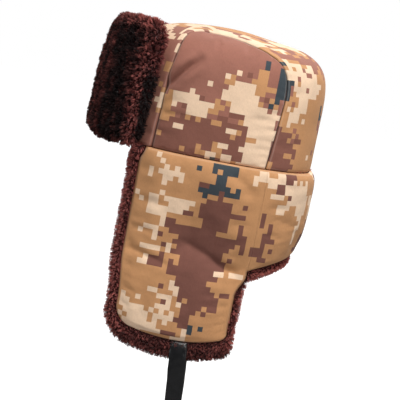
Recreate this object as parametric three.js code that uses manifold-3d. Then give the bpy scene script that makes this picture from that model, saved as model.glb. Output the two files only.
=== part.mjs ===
// Padded trapper hat: a three-panel crown, a fur visor, two ear flaps, a neck flap and two chin straps.
// Millimetres. +X is the wearer's left, +Y the back of the head, +Z up. The origin is the middle of the
// head opening, level with the seam that joins the crown to the flaps. Soft layers are plain closed slabs.
import * as THREE from 'three';
import { mergeVertices } from 'three/addons/utils/BufferGeometryUtils.js';
import Module from 'manifold-3d';

const wasm = await Module();
wasm.setup();

// Layers of the sewn panels, from the outside in.
const GAP = 0.3;
const CLOTH = 1.5;
const WADDING = 5;
const LINING = 1.2;
const FLAP_PILE = 12;
const STIFFENER = 4;
const FUR_GAP = 1.2;

// Crown: an oval plan, upright walls and a mildly domed top. The powers set how boxy each stretch is.
const CROWN = { halfWidth: 94, halfLength: 108, height: 133, planPower: 2.3, domePower: 2.1, wallPower: 9 };

// Seam between a side panel and the centre panel, seen from the side, as [y, z] from the front to the back.
const SEAM_POINTS = [
  [-62, 0], [-60, 35], [-56, 84], [-46, 120], [-13, 125], [30, 118],
  [54, 105], [63, 82], [61, 40], [57, 0],
];
const SEAM_FRONT_CORNER = 3 / 9;
const SEAM_BACK_CORNER = 6 / 9;
const SIDE_PANEL_SHRINK = 0.9925;

// Flaps hang from the crown's lower edge as one curtain, a little proud of the crown.
const CURTAIN = { halfWidth: 99, halfLength: 114.8, top: -0.6, taper: 0.068, taperDepth: 94, lowest: -108 };
const SPLIT_Y = 60;
const EAR = { front: -72, back: 48.5, bottom: -192, frontCorner: 24, backCorner: 5, flatHalfWidth: 92 };
const EAR_NOTCH = { top: -106, bottom: -138 };
const EAR_FUR = { front: -79.5, back: 57, bottom: -207, frontCorner: 32, backCorner: 20 };
const EAR_FUR_NOTCH = { top: -114, bottom: -130 };
const EDGE_DROP = 0.0025;
const NECK = { backBottom: -94, sideBottom: -105, furOverhang: 10 };

// Visor: stands up against the front of the crown and wraps round its sides.
const VISOR = { bottom: 0.8, clothTop: 122, furTop: 127, stand: 1.8, lean: 6, leanFrom: 70 };
const VISOR_END = { bottomY: -75, topY: -64, clothInset: 5, corner: 20 };
const VISOR_PILE = { bottom: 24.5, top: 19, end: 11 };

// Chin strap: a flat strap sewn into the flap's lower seam, with a press stud near its rounded tip.
const STRAP = { width: 17.5, thickness: 1.6, tipRadius: 8.5, studFromTip: 13 };
const STRAP_ROUTE = [
  [87.6, 4, -192.8], [90.4, 4.3, -196.5], [93.3, 4.8, -202], [94.6, 5.5, -209], [94.8, 7.2, -228],
  [94.8, 9.4, -254], [94.8, 11.4, -282], [94.8, 13, -312], [94.8, 14.2, -344], [94.8, 15, -378],
  [94.8, 15.6, -421],
];
const STUD = { capRadius: 6, capHeight: 2.2, postRadius: 2, holeRadius: 2.4, sides: 16 };

const COLOURS = {
  camo: [0.55, 0.38, 0.27], wadding: [0.85, 0.84, 0.8], lining: [0.1, 0.09, 0.09],
  fur: [0.2, 0.06, 0.07], strap: [0.02, 0.02, 0.022], metal: [0.6, 0.58, 0.55],
};

const hat = new THREE.Group();

function material(colour, roughness, metalness = 0) {
  return new THREE.MeshStandardMaterial({ color: new THREE.Color(...COLOURS[colour]), roughness, metalness });
}

function add(name, geometry, look) {
  const mesh = new THREE.Mesh(geometry, look);
  mesh.name = name;
  hat.add(mesh);
}

// Depth ranges [outer, inner] of layers that lie on each other with a small gap. Fur reaches past the other
// layers' edges, so its facets don't match theirs and its gap is wider.
function stack(cloth, middle, inmost, lastGap = GAP) {
  const second = cloth + GAP;
  const third = second + middle + lastGap;
  return [[0, cloth], [second, second + middle], [third, third + inmost]];
}

const lerp = THREE.MathUtils.lerp;
const smooth = THREE.MathUtils.smoothstep;
const power = (value, exponent) => Math.max(value, 0) ** exponent;

function signedVolume(geometry) {
  const position = geometry.attributes.position;
  const index = geometry.index.array;
  const [a, b, c] = [new THREE.Vector3(), new THREE.Vector3(), new THREE.Vector3()];
  let volume = 0;
  for (let i = 0; i < index.length; i += 3) {
    a.fromBufferAttribute(position, index[i]);
    b.fromBufferAttribute(position, index[i + 1]);
    c.fromBufferAttribute(position, index[i + 2]);
    volume += a.dot(b.cross(c));
  }
  return volume;
}

function facingOut(geometry) {
  if (signedVolume(geometry) > 0) return geometry;
  const index = geometry.index.array;
  for (let i = 0; i < index.length; i += 3) {
    [index[i], index[i + 1]] = [index[i + 1], index[i]];
  }
  return geometry;
}

function weld(geometry) {
  geometry.deleteAttribute('normal');
  geometry.deleteAttribute('uv');
  return mergeVertices(geometry);
}

// A slab of across by along cells, bent by place(u, v, w): u and v run from 0 to 1, w is 0 on its outer face
// and 1 on its inner one. Both faces split their cells along the same diagonal, so stacked slabs nest.
function slab(across, along, place) {
  const points = [];
  for (const w of [0, 1]) {
    for (let j = 0; j <= along; j += 1) {
      for (let i = 0; i <= across; i += 1) points.push(...place(i / across, j / along, w));
    }
  }
  const inner = (across + 1) * (along + 1);
  const at = (i, j) => j * (across + 1) + i;
  const index = [];
  for (let j = 0; j < along; j += 1) {
    for (let i = 0; i < across; i += 1) {
      const [a, b, c, d] = [at(i, j), at(i + 1, j), at(i + 1, j + 1), at(i, j + 1)];
      index.push(a, b, c, a, c, d);
      index.push(inner + a, inner + c, inner + b, inner + a, inner + d, inner + c);
    }
  }
  const wall = (p, q) => index.push(p, inner + p, inner + q, p, inner + q, q);
  for (let i = 0; i < across; i += 1) {
    wall(at(i, 0), at(i + 1, 0));
    wall(at(i + 1, along), at(i, along));
  }
  for (let j = 0; j < along; j += 1) {
    wall(at(across, j), at(across, j + 1));
    wall(at(0, j + 1), at(0, j));
  }
  const geometry = new THREE.BufferGeometry();
  geometry.setAttribute('position', new THREE.BufferAttribute(new Float32Array(points), 3));
  geometry.setIndex(new THREE.BufferAttribute(new Uint32Array(index), 1));
  return facingOut(geometry);
}

// The same piece on the wearer's right.
function mirrored(geometry) {
  return facingOut(geometry.clone().scale(-1, 1, 1));
}

// ---- Crown ----

// Zero on the crown's outer surface, negative inside it.
function crownLevel(x, y, z) {
  const plan = power(Math.abs(x) / CROWN.halfWidth, CROWN.planPower)
    + power(Math.abs(y) / CROWN.halfLength, CROWN.planPower);
  return plan ** (CROWN.domePower / CROWN.planPower) + power(z / CROWN.height, CROWN.wallPower) - 1;
}

function crownX(y, z) {
  const reach = power(1 - power(z / CROWN.height, CROWN.wallPower), CROWN.planPower / CROWN.domePower);
  const share = reach - power(Math.abs(y) / CROWN.halfLength, CROWN.planPower);
  return CROWN.halfWidth * power(share, 1 / CROWN.planPower);
}

// The same point of a layer at some depth: the crown's inner surfaces are scaled copies of the outer one.
function atDepth([x, y, z], depth) {
  return [
    x * (1 - depth / CROWN.halfWidth),
    y * (1 - depth / CROWN.halfLength),
    z * (1 - depth / CROWN.height),
  ];
}

const seam = new THREE.SplineCurve(SEAM_POINTS.map(([y, z]) => new THREE.Vector2(y, z)));
const SIDE_CELLS = 8;
const RISE_CELLS = 6;
const CROSS_CELLS = 10;
const SEAM_CELLS = SIDE_CELLS + 2 * RISE_CELLS;
const CELL_GAP = 0.03;

// A point of the side panel's outline patch: u from front to back, v from the lower edge to the top seam.
function sidePatch(u, v) {
  const front = seam.getPoint(SEAM_FRONT_CORNER * v);
  const back = seam.getPoint(1 - (1 - SEAM_BACK_CORNER) * v);
  const top = seam.getPoint(lerp(SEAM_FRONT_CORNER, SEAM_BACK_CORNER, u));
  const base = seam.getPoint(0).lerp(seam.getPoint(1), u);
  const low = seam.getPoint(0).lerp(seam.getPoint(1), u);
  const high = seam.getPoint(SEAM_FRONT_CORNER).lerp(seam.getPoint(SEAM_BACK_CORNER), u);
  const point = base.multiplyScalar(1 - v).addScaledVector(top, v);
  point.addScaledVector(front, 1 - u).addScaledVector(back, u);
  return point.sub(low.lerp(high, v)).multiplyScalar(SIDE_PANEL_SHRINK);
}

function sidePanel([outer, inner]) {
  return slab(SIDE_CELLS, RISE_CELLS, (u, v, w) => {
    const point = sidePatch(u, v);
    const height = Math.max(point.y, 0);
    return atDepth([crownX(point.x, height), point.x, height], lerp(outer, inner, w));
  });
}

// Where the centre panel's cross line through a seam point leaves the crown at a given x: the line's points
// lie in one plane through the X axis, so the panel's front and back edges come out level.
function crossPoint(x, seamPoint) {
  let near = 1;
  let far = 3;
  for (let i = 0; i < 40; i += 1) {
    const middle = (near + far) / 2;
    if (crownLevel(x, seamPoint.x * middle, seamPoint.y * middle) < 0) near = middle;
    else far = middle;
  }
  return [x, seamPoint.x * near, seamPoint.y * near];
}

// Distance along the seam at a cell of the centre panel, so its edge points match the side panel's.
function seamShare(cell) {
  if (cell <= RISE_CELLS) return SEAM_FRONT_CORNER * (cell / RISE_CELLS);
  if (cell >= RISE_CELLS + SIDE_CELLS) return 1 - (1 - SEAM_BACK_CORNER) * ((SEAM_CELLS - cell) / RISE_CELLS);
  return lerp(SEAM_FRONT_CORNER, SEAM_BACK_CORNER, (cell - RISE_CELLS) / SIDE_CELLS);
}

// The centre panel's stretch from one seam cell to another.
function centrePanel([outer, inner], first = 0, last = SEAM_CELLS) {
  return slab(CROSS_CELLS, Math.round(last - first), (u, v, w) => {
    const seamPoint = seam.getPoint(seamShare(lerp(first, last, v)));
    seamPoint.y = Math.max(seamPoint.y, 0);
    const edge = crownX(seamPoint.x, seamPoint.y);
    const x = edge * Math.cos(Math.PI * u);
    const point = Math.abs(x) > edge - 1e-6 ? [x, seamPoint.x, seamPoint.y] : crossPoint(x, seamPoint);
    return atDepth(point, lerp(outer, inner, w));
  });
}

// Behind the centre panel the wadding is cut in three, for the front, the top and the back.
function addCrown() {
  const layers = stack(CLOTH, WADDING, LINING);
  const kinds = [['panel', 'camo'], ['wadding', 'wadding'], ['lining', 'lining']];
  kinds.forEach(([kind, colour], i) => {
    const side = sidePanel(layers[i]);
    add(`crown_left_${kind}`, side, material(colour, 0.85));
    add(`crown_right_${kind}`, mirrored(side), material(colour, 0.85));
  });
  add('crown_centre_panel', centrePanel(layers[0]), material('camo', 0.85));
  add('crown_centre_lining', centrePanel(layers[2]), material('lining', 0.85));
  const [frontEnd, backStart] = [RISE_CELLS, RISE_CELLS + SIDE_CELLS];
  const cuts = [
    ['front', 0, frontEnd],
    ['top', frontEnd + CELL_GAP, backStart - CELL_GAP],
    ['back', backStart, SEAM_CELLS],
  ];
  for (const [place, first, last] of cuts) {
    add(`crown_${place}_wadding`, centrePanel(layers[1], first, last), material('wadding', 0.85));
  }
}

// ---- Ear flaps and neck flap ----

// How far the curtain has drawn in at height z.
function drawIn(z) {
  return 1 - CURTAIN.taper * power(Math.max(z, CURTAIN.lowest) / -CURTAIN.taperDepth, 2);
}

function curtainX(y, z, depth) {
  const [a, b] = [(CURTAIN.halfWidth - depth) * drawIn(z), (CURTAIN.halfLength - depth) * drawIn(z)];
  return a * power(1 - power(Math.abs(y) / b, CROWN.planPower), 1 / CROWN.planPower);
}

// An ear flap follows the crown at its top and goes flatter as it hangs, except beside the neck flap.
function earX(y, z, depth) {
  const flat = EAR.flatHalfWidth - 0.0012 * y * y - depth;
  const share = smooth(-z, 5, 120) * (1 - smooth(y, 10, SPLIT_Y));
  return lerp(curtainX(y, z, depth), flat, share);
}

// How far a round corner of that radius cuts in, at some height above the lower edge.
function cornerCut(radius, above) {
  if (above >= radius) return 0;
  return radius - Math.sqrt(Math.max(radius ** 2 - (radius - above) ** 2, 0));
}

function earBack(shape, notch, z) {
  return lerp(SPLIT_Y - GAP, shape.back, smooth(-z, -notch.top, -notch.bottom));
}

function earLayer(shape, notch, [outer, inner]) {
  return slab(8, 12, (u, v, w) => {
    const drop = 1 - (1 - v) ** 1.7;
    const level = lerp(CURTAIN.top, shape.bottom, drop);
    const above = level - shape.bottom;
    const front = shape.front + cornerCut(shape.frontCorner, above) + 5 * (1 - smooth(-level, 0, 18));
    const back = earBack(shape, notch, level) - cornerCut(shape.backCorner, above);
    const y = lerp(front, back, u);
    const z = level + EDGE_DROP * (y + 5) ** 2 * drop ** 2;
    return [earX(y, z, lerp(outer, inner, w)), y, z];
  });
}

function neckLayer(overhang, [outer, inner]) {
  return slab(14, 6, (u, v, w) => {
    const across = 2 * u - 1;
    const bottom = lerp(NECK.backBottom, NECK.sideBottom, across ** 4) - overhang;
    const z = lerp(CURTAIN.top, bottom, v);
    const depth = lerp(outer, inner, w);
    const [a, b] = [(CURTAIN.halfWidth - depth) * drawIn(z), (CURTAIN.halfLength - depth) * drawIn(z)];
    const start = Math.asin(((SPLIT_Y + GAP) / b) ** (CROWN.planPower / 2));
    const angle = lerp(start, Math.PI - start, u);
    const x = a * Math.sign(Math.cos(angle)) * power(Math.abs(Math.cos(angle)), 2 / CROWN.planPower);
    return [x, b * power(Math.sin(angle), 2 / CROWN.planPower), z];
  });
}

function addFlaps() {
  const [cloth, wadding, pile] = stack(CLOTH, WADDING, FLAP_PILE, FUR_GAP);
  const layers = [
    ['shell', earLayer(EAR, EAR_NOTCH, cloth), neckLayer(0, cloth), material('camo', 0.85)],
    ['wadding', earLayer(EAR, EAR_NOTCH, wadding), neckLayer(0, wadding), material('wadding', 0.95)],
    ['fur', earLayer(EAR_FUR, EAR_FUR_NOTCH, pile), neckLayer(NECK.furOverhang, pile), material('fur', 0.95)],
  ];
  for (const [kind, ear, neck, look] of layers) {
    add(`left_ear_flap_${kind}`, ear, look.clone());
    add(`right_ear_flap_${kind}`, mirrored(ear), look.clone());
    add(`neck_flap_${kind}`, neck, look);
  }
}

// ---- Visor ----

// Offset of the visor's back face from the crown's plan outline at height z.
function visorStand(z) {
  return VISOR.stand - VISOR.lean * smooth(z, VISOR.leanFrom, CROWN.height);
}

// One visor layer: from and to give its offsets from the back face at (share along the end, height).
function visorLayer(top, inset, from, to) {
  return slab(14, 8, (u, v, w) => {
    const z = lerp(VISOR.bottom, top, 1 - (1 - v) ** 1.5);
    const rise = z / CROWN.height;
    const across = Math.abs(2 * u - 1);
    const offset = visorStand(z) + lerp(from(across, rise), to(across, rise), w);
    const [a, b] = [CROWN.halfWidth + offset, CROWN.halfLength + offset];
    const endY = lerp(VISOR_END.bottomY, VISOR_END.topY, rise) - inset - cornerCut(VISOR_END.corner, top - z);
    const start = Math.asin((-endY / b) ** (CROWN.planPower / 2));
    const angle = lerp(start, Math.PI - start, u);
    const x = a * Math.sign(Math.cos(angle)) * power(Math.abs(Math.cos(angle)), 2 / CROWN.planPower);
    return [x, -b * power(Math.sin(angle), 2 / CROWN.planPower), z];
  });
}

function addVisor() {
  const [cloth, stiffener, [pileFrom]] = stack(CLOTH, STIFFENER, 0, FUR_GAP);
  const { bottom, top, end } = VISOR_PILE;
  const pileTo = (across, rise) => pileFrom + lerp(lerp(bottom, top, rise), end, across ** 3);
  const fixed = (value) => () => value;
  const flat = ([from, to]) => visorLayer(VISOR.clothTop, VISOR_END.clothInset, fixed(from), fixed(to));
  add('visor_shell', flat(cloth), material('camo', 0.85));
  add('visor_stiffener', flat(stiffener), material('wadding', 0.9));
  add('visor_fur', visorLayer(VISOR.furTop, 0, fixed(pileFrom), pileTo), material('fur', 0.95));
}

// ---- Chin straps ----

const route = new THREE.CatmullRomCurve3(STRAP_ROUTE.map((point) => new THREE.Vector3(...point)));

function solid(geometry) {
  const mesh = new wasm.Mesh({
    numProp: 3,
    vertProperties: new Float32Array(geometry.attributes.position.array),
    triVerts: new Uint32Array(geometry.index.array),
  });
  return new wasm.Manifold(mesh);
}

function fromSolid(manifold) {
  const mesh = manifold.getMesh();
  const geometry = new THREE.BufferGeometry();
  geometry.setAttribute('position', new THREE.BufferAttribute(new Float32Array(mesh.vertProperties), 3));
  geometry.setIndex(new THREE.BufferAttribute(new Uint32Array(mesh.triVerts), 1));
  return geometry;
}

// The middle of the stud, on the strap's centre line, which runs in one plane of constant x there.
function studPlace() {
  return route.getPointAt(1 - STRAP.studFromTip / route.getLength());
}

function strapSlab() {
  const length = route.getLength();
  return slab(2, 22, (u, v, w) => {
    const share = 1 - (1 - v) ** 1.25;
    const point = route.getPointAt(share);
    const tangent = route.getTangentAt(share);
    const normal = new THREE.Vector3(0, 1, 0).cross(tangent).normalize().negate();
    const toTip = (1 - share) * length;
    const halfWidth = STRAP.width / 2 - 0.8 * cornerCut(STRAP.tipRadius, toTip);
    point.addScaledVector(normal, (w - 0.5) * STRAP.thickness);
    return [point.x, point.y + (2 * u - 1) * halfWidth, point.z];
  });
}

function strap() {
  const place = studPlace();
  const drill = weld(new THREE.CylinderGeometry(STUD.holeRadius, STUD.holeRadius, 6, STUD.sides));
  drill.rotateZ(Math.PI / 2).translate(place.x, place.y, place.z);
  return fromSolid(solid(strapSlab()).subtract(solid(drill)));
}

// A turned piece whose axis is X: profile points are [radius, distance outwards from the strap's middle].
function turned(profile) {
  const outline = profile.map(([r, h]) => new THREE.Vector2(r, h));
  const geometry = weld(new THREE.LatheGeometry(outline, STUD.sides));
  geometry.rotateZ(-Math.PI / 2);
  const place = studPlace();
  return facingOut(geometry.translate(place.x, place.y, place.z));
}

function studCap() {
  const face = STRAP.thickness / 2 + GAP;
  const { capRadius: r, capHeight: h, postRadius: post } = STUD;
  return turned([
    [0, -face - 1.2], [post, -face - 1.2], [post, face], [r, face], [r, face + 0.4 * h],
    [0.85 * r, face + 0.75 * h], [0.5 * r, face + 0.95 * h], [0, face + h],
  ]);
}

function studSocket() {
  const back = -STRAP.thickness / 2 - GAP;
  return turned([
    [STUD.holeRadius, back], [5.6, back], [5.6, back - 1.2], [5, back - 3.2], [3.4, back - 3.2],
    [3.2, back - 1.6], [STUD.holeRadius, back - 1.6], [STUD.holeRadius, back],
  ]);
}

function studBall() {
  const back = -STRAP.thickness / 2 - GAP;
  return turned([
    [STUD.holeRadius, back], [5.6, back], [5.6, back - 0.9], [3.9, back - 1.2], [2.9, back - 1.6],
    [3.2, back - 3], [2.8, back - 3.6], [STUD.holeRadius, back - 3.6], [STUD.holeRadius, back],
  ]);
}

function addStraps() {
  const leather = material('strap', 0.3);
  const metal = material('metal', 0.3, 1);
  add('left_strap', strap(), leather);
  add('right_strap', mirrored(strap()), leather.clone());
  add('left_stud_cap', studCap(), metal);
  add('right_stud_cap', mirrored(studCap()), metal.clone());
  add('left_stud_socket', studSocket(), metal.clone());
  add('right_stud_ball', mirrored(studBall()), metal.clone());
}

addCrown();
addVisor();
addFlaps();
addStraps();

export default hat;
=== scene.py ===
"""Looks of the padded trapper hat. Lengths in the making functions are millimetres; +X is the wearer's left,
+Y the back of the head, +Z up, and the origin is the middle of the head opening."""
import math

import bpy
import numpy as np
from mathutils import Matrix, Vector, kdtree


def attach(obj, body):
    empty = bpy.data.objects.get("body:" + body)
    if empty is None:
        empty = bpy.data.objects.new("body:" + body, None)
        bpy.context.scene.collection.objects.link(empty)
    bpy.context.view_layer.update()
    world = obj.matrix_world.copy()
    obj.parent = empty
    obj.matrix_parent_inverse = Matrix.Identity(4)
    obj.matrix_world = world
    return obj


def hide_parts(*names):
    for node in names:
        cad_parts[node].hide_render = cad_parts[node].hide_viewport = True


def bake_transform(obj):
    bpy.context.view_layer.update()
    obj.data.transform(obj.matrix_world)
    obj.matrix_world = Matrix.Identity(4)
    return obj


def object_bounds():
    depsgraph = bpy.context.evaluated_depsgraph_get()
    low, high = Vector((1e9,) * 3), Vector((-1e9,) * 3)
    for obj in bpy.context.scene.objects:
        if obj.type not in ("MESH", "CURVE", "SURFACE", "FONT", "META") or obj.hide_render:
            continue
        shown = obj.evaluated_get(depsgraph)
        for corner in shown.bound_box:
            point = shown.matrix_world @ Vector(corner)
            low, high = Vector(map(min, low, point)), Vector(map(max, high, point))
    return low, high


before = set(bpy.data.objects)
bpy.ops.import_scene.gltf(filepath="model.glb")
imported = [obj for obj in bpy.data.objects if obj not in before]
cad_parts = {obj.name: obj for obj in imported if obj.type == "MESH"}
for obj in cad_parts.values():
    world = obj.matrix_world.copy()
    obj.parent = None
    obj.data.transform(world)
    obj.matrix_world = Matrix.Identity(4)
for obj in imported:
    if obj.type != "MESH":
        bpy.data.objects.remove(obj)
cad_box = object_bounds()

MM = 0.001

# The same shapes as in the CAD model.
CROWN_A, CROWN_B, CROWN_H = 94.0, 108.0, 133.0
PLAN, DOME, WALL = 2.3, 2.1, 9.0
SEAM = np.array([
    [-62, 0], [-60, 35], [-56, 84], [-46, 120], [-13, 125], [30, 118], [54, 105], [63, 82], [61, 40], [57, 0],
], float)
SEAM_FRONT, SEAM_BACK = 3 / 9, 6 / 9
CURTAIN_A, CURTAIN_B, CURTAIN_TOP = 99.0, 114.8, -0.6
SPLIT = 60.0
EAR = {"front": -72, "back": 51.5, "bottom": -192.5, "front_corner": 17, "back_corner": 5,
       "notch": (-118, -142)}
EAR_FUR = {"front": -81.5, "back": 58, "bottom": -211.5, "front_corner": 27, "back_corner": 8,
           "notch": (-126, -139)}
STRAP_ROUTE = np.array([
    [87.6, 4, -192.8], [90.4, 4.3, -196.5], [93.3, 4.8, -202], [94.6, 5.5, -209], [94.8, 7.2, -228],
    [94.8, 9.4, -254], [94.8, 11.4, -282], [94.8, 13, -312], [94.8, 14.2, -344], [94.8, 15, -378],
    [94.8, 15.6, -421],
])
STRAP_WIDTH, STRAP_THICK, STRAP_TIP = 17.5, 1.6, 8.5
# Depths below the outer surface: crown and flap padding, then the lining's two faces.
CROWN_PAD, FLAP_PAD, LINING_OUTER, LINING_INNER = 6.7, 6.8, 7.1, 8.0
# Where the centre panel's print starts along the cloth, how far the neck fur hangs past its cloth, and half
# the gap between the fur of two flaps.
CENTRE_START, NECK_OVERHANG, FUR_GAP = 57, 10, 0.2
CAMERA_DISTANCE, CAMERA_WIDTH = 1.2, 0.44
CAMERA_TARGET = Vector((0, -0.0027, -0.0555))
SOLVE_SCALE, SOLVE_STEPS = 10, 20


# ---- Numbers ----

def lerp(a, b, t):
    return a + (b - a) * t


def smooth(x, low, high):
    t = np.clip((x - low) / (high - low), 0, 1)
    return t * t * (3 - 2 * t)


def power(value, exponent):
    return np.maximum(value, 0) ** exponent


def unit(vectors):
    return vectors / np.maximum(np.linalg.norm(vectors, axis=-1, keepdims=True), 1e-9)


def spline(points, t):
    """Points at t, from 0 to 1, of the smooth curve through the given points."""
    t = np.asarray(t, float) * (len(points) - 1)
    i = np.clip(np.floor(t).astype(int), 0, len(points) - 2)
    w = (t - i)[..., None]
    p0, p1 = points[np.maximum(i - 1, 0)], points[i]
    p2, p3 = points[i + 1], points[np.minimum(i + 2, len(points) - 1)]
    a, b = (p2 - p0) / 2, (p3 - p1) / 2
    return (2 * p1 - 2 * p2 + a + b) * w**3 + (-3 * p1 + 3 * p2 - 2 * a - b) * w**2 + a * w + p1


def evenly(points, count):
    """The smooth curve through the points, as count points an equal distance apart, and its length."""
    fine = spline(points, np.linspace(0, 1, 1200))
    run = np.concatenate([[0], np.cumsum(np.linalg.norm(np.diff(fine, axis=0), axis=1))])
    where = np.linspace(0, run[-1], count)
    return np.stack([np.interp(where, run, fine[:, k]) for k in range(3)], -1), run[-1]


def waves(x, y, seed, scale, octaves=2):
    """Smooth random hills from about -1 to 1, repeatable, with hills about scale apart."""
    rng = np.random.default_rng(seed)
    total, weight = np.zeros(np.broadcast(x, y).shape), 0
    for octave in range(octaves):
        for _ in range(7):
            turn, phase = rng.uniform(0, 2 * math.pi, 2)
            rate = 2 * math.pi / scale * rng.uniform(0.7, 1.4) * 2**octave
            total += np.sin((x * math.cos(turn) + y * math.sin(turn)) * rate + phase) / 2**octave
        weight += 7 / 4**octave
    return total / math.sqrt(weight * 2)


def from_line(x, y, line):
    """Distance from each point to a polyline, and how far along it the nearest point is, from 0 to 1."""
    line = np.array(line, float)
    best, along = np.full(x.shape, 1e9), np.zeros(x.shape)
    for i, (a, b) in enumerate(zip(line[:-1], line[1:])):
        d = b - a
        t = np.clip(((x - a[0]) * d[0] + (y - a[1]) * d[1]) / max(d @ d, 1e-9), 0, 1)
        far = np.hypot(x - a[0] - t * d[0], y - a[1] - t * d[1])
        along = np.where(far < best, (i + t) / (len(line) - 1), along)
        best = np.minimum(best, far)
    return best, along


def crease(x, y, line, depth, width, skew=0.0):
    """A soft valley along a polyline, fading out at its ends, with a raised lip on one side."""
    far, along = from_line(x, y, line)
    fade = np.sin(np.clip(along * 0.9 + 0.05, 0, 1) * math.pi) ** 0.6
    valley = -np.exp(-((far / width) ** 2))
    lip = skew * np.exp(-(((far - 2.2 * width) / (1.6 * width)) ** 2))
    return fade * depth * (valley + lip)


def creases(x, y, rows):
    """The sum of several creases, each (line, depth, width, skew)."""
    return sum(crease(x, y, *row) for row in rows)


# ---- Meshes ----

def make_object(name, points, groups, flat_from=None, floats=None, vectors=None):
    """A mesh object from points in millimetres and arrays of faces, each with one number of corners."""
    mesh = bpy.data.meshes.new(name)
    corners = np.concatenate([g.ravel() for g in groups]).astype(np.int32)
    sizes = np.concatenate([np.full(len(g), g.shape[1]) for g in groups])
    mesh.vertices.add(len(points))
    mesh.vertices.foreach_set("co", (points * MM).astype(np.float32).ravel())
    mesh.loops.add(len(corners))
    mesh.loops.foreach_set("vertex_index", corners)
    mesh.polygons.add(len(sizes))
    mesh.polygons.foreach_set("loop_start", np.concatenate([[0], np.cumsum(sizes)[:-1]]).astype(np.int32))
    mesh.update(calc_edges=True)
    is_smooth = np.ones(len(sizes), bool)
    if flat_from is not None:
        is_smooth[flat_from:] = False
    mesh.polygons.foreach_set("use_smooth", is_smooth)
    for key, values in (floats or {}).items():
        layer = mesh.attributes.new(key, "FLOAT", "POINT")
        layer.data.foreach_set("value", values.astype(np.float32).ravel())
    for key, values in (vectors or {}).items():
        layer = mesh.attributes.new(key, "FLOAT_VECTOR", "POINT")
        layer.data.foreach_set("vector", values.astype(np.float32).ravel())
    obj = bpy.data.objects.new(name, mesh)
    bpy.context.scene.collection.objects.link(obj)
    return obj


def shell(name, outer, inner, cloth, shade=None):
    """A closed piece between two grids of points. cloth is the flat place of each point on its fabric."""
    rows, columns = outer.shape[:2]
    at = np.arange(rows * columns).reshape(rows, columns)
    a, b, c, d = at[:-1, :-1], at[:-1, 1:], at[1:, 1:], at[1:, :-1]
    top = np.stack([a, b, c, d], -1).reshape(-1, 4)
    count = rows * columns
    rim = np.concatenate([at[0, :], at[1:, -1], at[-1, -2::-1], at[-2:0:-1, 0]])
    ahead = np.roll(rim, -1)
    walls = np.stack([rim, rim + count, ahead + count, ahead], -1)
    faces = np.concatenate([top, top[:, ::-1] + count, walls])
    points = np.concatenate([outer.reshape(-1, 3), inner.reshape(-1, 3)])
    p, q, r, s = (points[faces[:, k]] for k in range(4))
    volume = (np.einsum("ij,ij->i", p, np.cross(q, r)) + np.einsum("ij,ij->i", p, np.cross(r, s))).sum()
    if volume < 0:
        faces = faces[:, ::-1]
    flat = np.zeros((count, 3))
    flat[:, :2] = cloth.reshape(-1, 2) * MM
    edge = np.ones(count) if shade is None else shade.ravel()
    return make_object(name, points, [faces], flat_from=2 * len(top), floats={"edge": np.tile(edge, 2)},
                       vectors={"cloth": np.tile(flat, (2, 1))})


def all_smooth(piece):
    piece.data.polygons.foreach_set("use_smooth", np.ones(len(piece.data.polygons), bool))


def outward(points, away=(0, 0, 20)):
    """Unit normals of a grid of points, pointing away from the hat's middle."""
    across, along = np.gradient(points, axis=1), np.gradient(points, axis=0)
    normal = unit(np.cross(across, along))
    side = np.einsum("ijk,ijk->ij", normal, points - np.array(away, float))
    return normal * (1 if side.mean() > 0 else -1)


def refine(field, rows, columns):
    """A coarse grid of vectors, resampled smoothly to a finer one."""
    def along(values, count):
        axis = spline(values.reshape(values.shape[0], -1), np.linspace(0, 1, count))
        return axis.reshape(count, *values.shape[1:])
    return along(along(field, rows).swapaxes(0, 1), columns).swapaxes(0, 1)


def settle(points, rows, columns, grow, pressure, cap):
    """Cloth simulation of one sheet, a coarse grid of points whose four edges stay. The sheet is cut too
    large by the share grow, so that it wrinkles between its seams. Gives how far a finer grid of rows and
    columns moved, at most cap, in millimetres."""
    at = np.arange(points[..., 0].size).reshape(points.shape[:2])
    faces = np.stack([at[:-1, :-1], at[:-1, 1:], at[1:, 1:], at[1:, :-1]], -1).reshape(-1, 4)
    normal = outward(points)
    p, q, r = (points.reshape(-1, 3)[faces[:, k]] for k in range(3))
    if (np.cross(q - p, r - p) * normal[:-1, :-1].reshape(-1, 3)).sum() < 0:
        faces = faces[:, ::-1]
    start = points + normal * (0.15 * waves(points[..., 1], points[..., 2], 5, 16))[..., None]
    # The cloth is solved larger than it is, where Blender's default thicknesses suit it.
    obj = make_object("settling_sheet", start.reshape(-1, 3) * SOLVE_SCALE, [faces])
    pinned = np.ones(at.shape, bool)
    pinned[1:-1, 1:-1] = False
    obj.vertex_groups.new(name="pin").add(np.flatnonzero(pinned.ravel()).tolist(), 1.0, "REPLACE")
    cloth = obj.modifiers.new("Cloth", "CLOTH")
    for key, value in {
        "quality": 6, "mass": 0.2, "tension_stiffness": 20, "compression_stiffness": 20, "shear_stiffness": 8,
        "bending_stiffness": 1.5, "tension_damping": 12, "compression_damping": 12, "air_damping": 3,
        "shrink_min": -grow, "shrink_max": -grow, "use_pressure": True, "uniform_pressure_force": pressure,
        "vertex_group_mass": "pin",
    }.items():
        setattr(cloth.settings, key, value)
    cloth.settings.effector_weights.gravity = 0
    cloth.collision_settings.use_collision = False
    for number in range(1, SOLVE_STEPS + 1):
        bpy.context.scene.frame_set(number)
    seen = obj.evaluated_get(bpy.context.evaluated_depsgraph_get()).to_mesh()
    settled = np.empty(points.size, np.float32)
    seen.vertices.foreach_get("co", settled)
    bpy.context.scene.frame_set(1)
    mesh = obj.data
    bpy.data.objects.remove(obj)
    bpy.data.meshes.remove(mesh)
    moved = settled.reshape(points.shape) / (SOLVE_SCALE * MM) - points
    far = np.linalg.norm(moved, axis=-1, keepdims=True)
    return refine(moved * np.minimum(1, cap / np.maximum(far, 1e-6)), rows, columns)


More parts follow.
